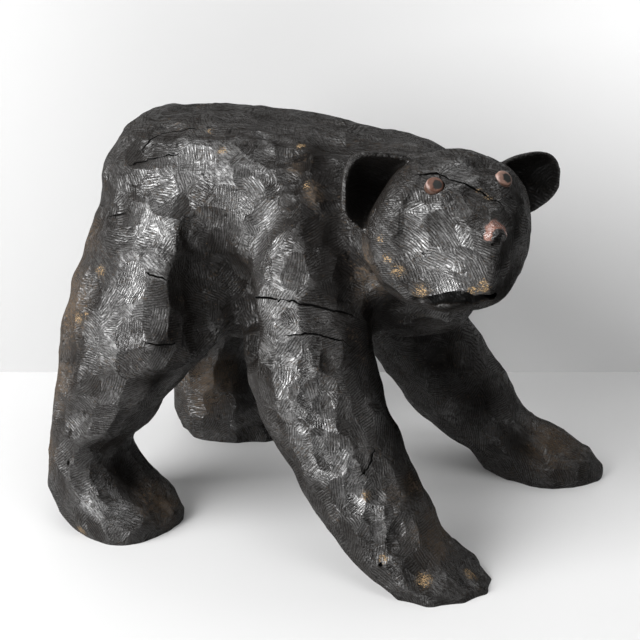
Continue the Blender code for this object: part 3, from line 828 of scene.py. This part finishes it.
def carving_cutters():
    """What is cut out of the finished skin: the ground, mouth, pits, nose's holes and sockets."""
    ground = bmesh.new()
    bmesh.ops.create_cube(ground, size=4, matrix=Matrix.Translation((0, 0, -2)))
    cutters = [bpy.data.meshes.new("ground")]
    ground.to_mesh(cutters[0])
    ground.free()
    rounds = [(tube_rings(MOUTH), 1.6, 9, 31)]
    for place, pits in ((BODY_FRAME, BODY_PITS), (HEAD_FRAME, HEAD_PITS)):
        rounds += [(ball_rings(centre, (radius,) * 3, place), 1.0, 6, 41) for *centre, radius in pits]
    rounds.append((ball_rings(*NOSE_DISH, HEAD_FRAME), 0.8, 6, 45))
    rounds += [(ball_rings(spot, NOSTRIL_SIZES, HEAD_FRAME), 0.6, 5, 51) for spot in NOSTRILS]
    cutters += [mesh_of("cutter", rough(*one)) for one in rounds]
    for name, side in (("eye_right", -1), ("eye_left", 1)):
        cutters.append(mesh_of("socket", moved(turned_rings(SOCKET, 48) * UNIT, eye_place(name, side))))
    return cutters


def add_values(mesh, name, values, domain="POINT"):
    mesh.attributes.new(name, "FLOAT", domain).data.foreach_set("value", values.astype(np.float32))


def add_uv(mesh, name, corners):
    mesh.uv_layers.new(name=name).data.foreach_set("uv", corners.astype(np.float32).ravel())


def mark(mesh, dense_points, strokes, which):
    """Stores what the material reads.

    A UV map holds each face's place in its own stroke, in metres. Values hold cracks, chips, depth and so on.
    """
    points, normals = places_of(mesh)
    _, away = nearest(points, dense_points, 6 * UNIT)
    of_face, _ = nearest(read(mesh.polygons, "center", 3, np.float32).astype(float), dense_points, 6 * UNIT)
    number = which[of_face]
    spots, outwards, ways = map(np.array, zip(*strokes))  # all that NO_STROKE has
    mine = np.repeat(number, read(mesh.polygons, "loop_total"))
    off = points[read(mesh.loops, "vertex_index")] - spots[mine]
    run_over = [(off * way[mine]).sum(axis=1) for way in (ways, np.cross(outwards, ways))]
    add_uv(mesh, "cut", np.stack(run_over, axis=1))
    draws = np.random.default_rng(13).uniform(0, 1, len(strokes))
    add_values(mesh, "stroke", draws[number], "FACE")

    rng = np.random.default_rng(17)
    lines = []
    for place, cracks in ((BODY_FRAME, BODY_CRACKS), (HEAD_FRAME, HEAD_CRACKS)):
        for half, *path in cracks:
            line = moved(along(path, 8), place)
            lines.append((line + rng.normal(0, CRACK_KINKS * UNIT, line.shape), half))
    values = {
        "top": np.clip(3 * normals[:, 2] - 1.5, 0, 1),
        # deep: how far below the skin a cut goes, where the material paints shade.
        "deep": np.clip(np.where(np.isfinite(away), away, 0) / UNIT, 0, 20),
        "crack": line_signal(points, normals, lines),
        "bare": near_either(points, BODY_CHIPS, HEAD_CHIPS),
        "brown": near_balls(points, BROWN_PATCHES, BODY_FRAME),
        # hollow: the ears' cups, which the material paints dark as shade.
        "hollow": ear_signals(points)[1],
        "nose": near_balls(points, NOSE_TINT, HEAD_FRAME),
        "polish": near_either(points, BODY_POLISH, HEAD_POLISH),
        # The next value marks painted shade: matt black in folds, under the chin and on sides away from the
        # light.
        "painted_shade": near_either(points, BODY_PAINTED_SHADE, HEAD_PAINTED_SHADE),
    }
    for name, value in values.items():
        add_values(mesh, name, value)


def show(name, mesh, look, node, sharp):
    """Shows a finished piece that stands for a node."""
    mesh.materials.clear()
    mesh.materials.append(look)
    mesh.shade_smooth()
    mesh.set_sharp_from_angle(angle=sharp)
    piece = in_scene(name, mesh)
    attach(piece, "root")
    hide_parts(node)


def add_bear(look):
    skin = coarse_skin()
    strokes = coarse_strokes(skin, np.random.default_rng(7))
    dense = fine_skin(skin)
    strokes, which = carve(dense, skin, strokes)
    fit(dense)
    dense_points, _ = places_of(dense)
    triangles = (read(dense.polygons, "loop_total") - 2).sum()
    fewer = modified(dense, ("DECIMATE", {"ratio": MOST_TRIANGLES / triangles}))
    mesh = cut_away(fewer, carving_cutters())
    mark(mesh, dense_points, strokes, which)
    show("bear_carving", mesh, look, "bear", WOOD_SHARP)


def add_eye(name, side, pale, look):
    """A turned plug: its dome is an arc, a little lumpy, and its UV map is the way off its axis in radii."""
    angle = np.linspace(0, 1, 14) * math.pi / 2
    dome = np.stack([1.2 + EYE_DOME * np.sin(angle), EYE_RADIUS * np.cos(angle) ** 0.45], axis=1)
    dome[-1, 1] = 0.4
    profile = np.vstack([((-EYE_SHANK, EYE_RADIUS), (-3, EYE_RADIUS)), dome])
    place = eye_place(name, side)
    mesh = mesh_of(name, rough(moved(turned_rings(profile, 64) * UNIT, place), 0.25, 5, 61))
    points, _ = places_of(mesh)
    local = moved(points, place.inverted()) / (EYE_RADIUS * UNIT)
    add_uv(mesh, "disc", local[read(mesh.loops, "vertex_index")][:, 1:])
    add_values(mesh, "pale", np.full(len(mesh.vertices), pale))
    show(name + "_plug", mesh, look, name, EYE_SHARP)


class Signal:
    """A socket that can be used in sums: each one makes a Math node."""

    def __init__(self, graph, socket):
        self.graph = graph
        self.socket = socket

    def hashed(self, factor):
        """A number from -1 to 1 that differs between close values of a signal."""
        return (self * factor).math("FRACT") * 2 - 1

    def math(self, operation, *others):
        return self.graph.node("Math", dict(enumerate((self,) + others)), operation=operation)

    __add__ = __radd__ = partialmethod(math, "ADD")
    __sub__ = partialmethod(math, "SUBTRACT")
    __mul__ = __rmul__ = partialmethod(math, "MULTIPLY")
    __truediv__ = partialmethod(math, "DIVIDE")

    def __rsub__(self, other):
        return (self * -1) + other

    def rise(self, low, high):
        """0 below low, 1 above high and smooth between, or the other way round when low is over high."""
        values = {"Value": self, "From Min": low, "From Max": high}
        return self.graph.node("MapRange", values, interpolation_type="SMOOTHSTEP")


class Graph:
    """A material and short ways of adding nodes to it."""

    def __init__(self, name):
        self.look = bpy.data.materials.new(name)
        self.look.use_nodes = True
        self.tree = self.look.node_tree
        self.shader = self.tree.nodes["Principled BSDF"]
        self.place = self.node("TexCoord", {}, "Object")  # in metres

    def feed(self, socket, value):
        if isinstance(value, Signal):
            self.tree.links.new(value.socket, socket)
        else:
            socket.default_value = (*value, 1) if socket.type == "RGBA" else value

    def node(self, kind, inputs, output=0, **settings):
        made = self.tree.nodes.new("ShaderNode" + kind)
        for name, value in settings.items():
            setattr(made, name, value)
        for name, value in inputs.items():
            self.feed(made.inputs[name], value)
        return Signal(self, made.outputs[output])

    def set(self, **inputs):
        for name, value in inputs.items():
            self.feed(self.shader.inputs[name.replace("_", " ")], value)

    def stored(self, name):
        return self.node("Attribute", {}, "Fac", attribute_name=name)

    def uv(self, name):
        """The two parts of a UV map."""
        found = self.node("UVMap", {}, uv_map=name)
        return [self.node("SeparateXYZ", {0: found}, part) for part in (0, 1)]

    def noise(self, sizes, detail=3, roughness=0.6):
        """Noise from 0 to 1 whose lumps have these sizes, in metres."""
        scaled = self.node("VectorMath", {0: self.place, 1: sizes}, operation="DIVIDE")
        return self.node("TexNoise", {"Vector": scaled, "Scale": 1, "Detail": detail, "Roughness": roughness})

    def mix(self, share, one, other):
        return self.node("Mix", {0: share, 6: one, 7: other}, 2, data_type="RGBA")

    def blend(self, share, other):
        """Mixes the shader with another one."""
        mixed = self.node("MixShader", {0: share, 1: Signal(self, self.shader.outputs[0]), 2: other})
        self.feed(self.tree.nodes["Material Output"].inputs["Surface"], mixed)

    def bump(self, height):
        """A normal from a height in metres."""
        return self.node("Bump", {"Height": height, "Distance": 1})


def stained_wood():
    """Near-black stain, brown where it is thin, with lines where the chain chattered and tan wear, and
    painted shade: black in folds, grooves, deep cuts and the ears' cups.
    """
    wood = Graph("stained_wood")
    run, over = wood.uv("cut")
    pick, top, deep, crack, bare = map(wood.stored, ("stroke", "top", "deep", "crack", "bare"))
    nose, brown, hollow, painted_shade, polish = map(wood.stored, ("nose", "brown", "hollow", "painted_shade", "polish"))

    blotch = wood.noise((0.07, 0.03, 0.03), 4)
    streak = wood.noise((0.03, 0.0022, 0.0022))
    speck = wood.noise((0.0022, 0.0014, 0.0014))
    flake = wood.noise((0.007, 0.004, 0.004))
    wobble = wood.noise((0.02, 0.02, 0.02), 2, 0.5)

    turn = pick.hashed(7.31) * 0.9 + 0.7
    cos, sin = turn.math("COSINE"), turn.math("SINE")
    across, onwards = run * cos + over * sin, over * cos - run * sin
    waves = (across + onwards * onwards * 3 + wobble * 0.006 + flake * 0.0012) * (2 * math.pi / CHATTER)
    hold = wood.noise((0.034, 0.034, 0.034)).rise(0.32, 0.52) * (1 - top * 0.8)
    groove = (waves.math("SINE") * 0.5 + 0.5).math("POWER", 2.5) * hold
    fibres = wood.node("CombineXYZ", {0: across / 0.0018, 1: onwards / 0.014, 2: pick * 97})
    scratch = wood.node("TexNoise", {"Vector": fibres, "Scale": 1, "Detail": 4, "Roughness": 0.7})
    scratch = scratch.rise(0.46, 0.60)
    tilt = run * pick.hashed(13.7) + over * pick.hashed(29.3)
    scoop = (over * over * 5 + run * run).math("MINIMUM", 0.012)
    hewn = tilt * 0.26 + scoop - groove * 0.0003 - scratch * 0.0004

    thin = (brown * 0.34 + bare * 0.2 + blotch * 0.5 + flake + streak * 0.3 - 0.75).rise(0.25, 0.5)
    # Painted shade: folds, chin and sides away from the light go a matt black.
    painted_shading = (painted_shade + blotch * 0.6 - 0.35).rise(0.05, 0.85)
    # Painted shade: the chain's grooves are also darkened towards that black, as the shade in them.
    stain = wood.mix(thin, wood.mix(painted_shading * 0.5 + groove * 0.5, BLACK_STAIN, PAINTED_SHADE_BLACK), BROWN_STAIN)
    stain = wood.mix(brown * (blotch * 1.6 - 0.4), stain, BROWN_STAIN)
    fleck = (speck * 0.6 + flake * 0.4 + brown * 0.12).rise(0.66, 0.74)
    stain = wood.mix(fleck * 0.6, stain, BARE_WOOD)
    stain = wood.mix((nose * 1.6 + flake * 0.5 - 0.2).rise(0.2, 0.6), stain, RED_STAIN)
    chipped = (bare * 3).math("MINIMUM", 1) * (bare * 0.14 + speck + flake * 0.2).rise(0.68, 0.76)
    stain = wood.mix(chipped * 0.8, stain, wood.mix(streak, BARE_WOOD, PALE_WOOD))
    # Cracks are black gaps in the wood; deep cuts and the ears' cups are painted dark as their shade, less on
    # the nose.
    dark = (crack.math("ABSOLUTE") + (flake - 0.5) * 1.2).rise(1.5, 0.8)
    dark = dark.math("MAXIMUM", deep.rise(1, 5) * (0.9 - nose * 1.3)).math("MAXIMUM", hollow * 0.55)
    stain = wood.mix(dark, stain, CRACK_AND_SHADE_BLACK)

    height = streak * (top * 0.0012 + 0.0003) + speck * 0.00015 + flake * 0.0005 - dark * 0.002 + hewn
    roughness = 0.25 + pick * 0.10 + thin * 0.25 + chipped * 0.3 - nose * 0.1
    wood.set(Base_Color=stain, Roughness=roughness, Normal=wood.bump(height), IOR=2.2)
    worn = (speck * 0.5 + flake * 0.5).rise(0.46, 0.58)
    rubbed = (polish * 1.2 + blotch * 0.5 - 0.25).rise(0, 0.8)
    # Painted shade also takes the sheen off in the grooves, the shaded folds, cracks, deep cuts and the ears'
    # cups.
    gloss = (1 - groove * 0.7) * (1 - scratch * (0.75 - hold * 0.3)) * (1 - worn * 0.45)
    gloss = gloss * (1 - top * streak.rise(0.45, 0.6) * 0.5) * (0.5 + rubbed * 0.85)
    gloss = gloss * (1 - thin * 0.6) * (1 - painted_shading * 0.8) * (1.05 - pick * 0.25)
    gloss = (gloss + nose * 0.8) * (1 - dark) * (1 - hollow * 0.6) * (1 - chipped)
    matt = wood.node("BsdfPrincipled", {"Base Color": stain, "Roughness": 1, "Specular IOR Level": 0})
    wood.blend((1 - gloss).math("MAXIMUM", 0), matt)
    return wood.look


def eye_wood():
    """A sawn plug: copper-brown, with a painted highlight on its left rim, painted shade round its edge that
    is widest at the bottom, and a dark pupil right of its middle.
    """
    wood = Graph("eye_wood")
    across, up = wood.uv("disc")
    fibre, lump = wood.noise((0.006, 0.0012, 0.0012), 3, 0.5), wood.noise((0.005, 0.005, 0.005), 3, 0.5)
    lump_way = lump - 0.5
    aside, above = across - 0.26, up - 0.02
    off = (aside * aside + above * above).math("SQRT") + lump_way * 0.5
    rim = (across * across + up * up).math("SQRT") + lump_way * 0.3
    brown = wood.mix(fibre + lump_way, *PLUG_BROWNS)
    colour = wood.mix(wood.stored("pale"), brown, wood.mix(fibre, *PALE_BROWNS))
    # Painted highlight on the plug's left rim, the side towards the light.
    colour = wood.mix((lump * 0.7 - across).rise(1.0, 1.35) * 0.8, colour, PLUG_PAINTED_HIGHLIGHT)
    # Painted shade round the plug's edge in its socket, widest at the bottom and none at the top.
    colour = wood.mix((rim - up * 0.2).rise(0.82, 1.05), colour, PLUG_EDGE_SHADE)
    pupil = off.rise(0.68, 0.42)
    colour = wood.mix(pupil, colour, PUPIL_BLACK)
    height = fibre * 0.0003 + lump * 0.0004
    wood.set(Base_Color=colour, Roughness=0.3 + lump * 0.2 + pupil * 0.3, Normal=wood.bump(height), IOR=1.35)
    return wood.look


def stage_look(name, left, right):
    """A matt grey, paler towards the right as painted light that makes up for the lamps lighting the left
    more, and clear from behind, so that a back view sees through it.
    """
    paint = Graph(name)
    rightwards = paint.node("SeparateXYZ", {0: paint.place}, "X").rise(-0.7, 0.9)
    paint.set(Base_Color=paint.mix(rightwards, (left,) * 3, (right,) * 3), Roughness=0.6)
    paint.blend(paint.node("NewGeometry", {}, "Backfacing"), paint.node("BsdfTransparent", {}))
    return paint.look


def add_sheet(name, corners, look):
    """A flat stage piece through four corners."""
    mesh = bpy.data.meshes.new(name)
    mesh.from_pydata(corners, [], [(0, 1, 2, 3)])
    mesh.materials.append(look)
    sheet = in_scene(name, mesh)


def add_stage():
    """The floor, and a wall square to the camera's way behind the bear."""
    ahead = Vector((-math.sin(CAMERA_TURN), math.cos(CAMERA_TURN), 0))
    across = Vector((ahead.y, -ahead.x, 0))
    foot = ahead * WALL_BEHIND
    left, right = foot - across * 1.2, foot + across * 2
    near_left, near_right = left - ahead * 6, right - ahead * 6
    # The greys rise to the right as painted light: the lamps leave the right dimmer than the left.
    add_sheet("floor", [near_left, near_right, right, left], stage_look("floor_paper", 0.60, 0.66))
    tall = Vector((0, 0, 4))
    add_sheet("wall", [left, right, right + tall, left + tall], stage_look("wall_paper", 0.42, 0.88))


def add_softbox(name, place, target, size, power):
    light = bpy.data.lights.new(name, "AREA")
    light.shape = "RECTANGLE"
    light.size, light.size_y = size
    light.energy = power
    lamp = in_scene(name, light)
    lamp.location = place
    lamp.rotation_euler = (Vector(target) - Vector(place)).to_track_quat("-Z", "Y").to_euler()
    lamp.visible_camera = False


def add_lights():
    world = bpy.data.worlds.new("room")
    world.use_nodes = True
    glow = world.node_tree.nodes["Background"].inputs
    glow["Color"].default_value = (1, 1, 1, 1)
    glow["Strength"].default_value = 0.02
    bpy.context.scene.world = world
    add_softbox("key", (-2.1, -2.6, 1.65), (0, 0, 0.35), (2.9, 3.0), 340)
    add_softbox("card", (-0.45, -1.35, 0.02), (-0.45, -1.35, 1), (1.7, 1.0), 20)
    add_softbox("top", (1.1, -0.6, 3.0), (0.9, 0.2, 0), (2.2, 2.2), 46)


def add_camera():
    lens = bpy.data.cameras.new("camera")
    lens.lens = CAMERA_LENS
    camera = in_scene("camera", lens)
    camera.location = CAMERA_PLACE
    camera.rotation_euler = (CAMERA_TILT, 0, CAMERA_TURN)
    bpy.context.scene.camera = camera


def main():
    bpy.context.scene.view_settings.view_transform = "Standard"
    add_camera()
    add_lights()
    add_stage()
    add_bear(stained_wood())
    eyes = eye_wood()
    add_eye("eye_right", -1, 0.0, eyes)
    add_eye("eye_left", 1, 0.7, eyes)


main()
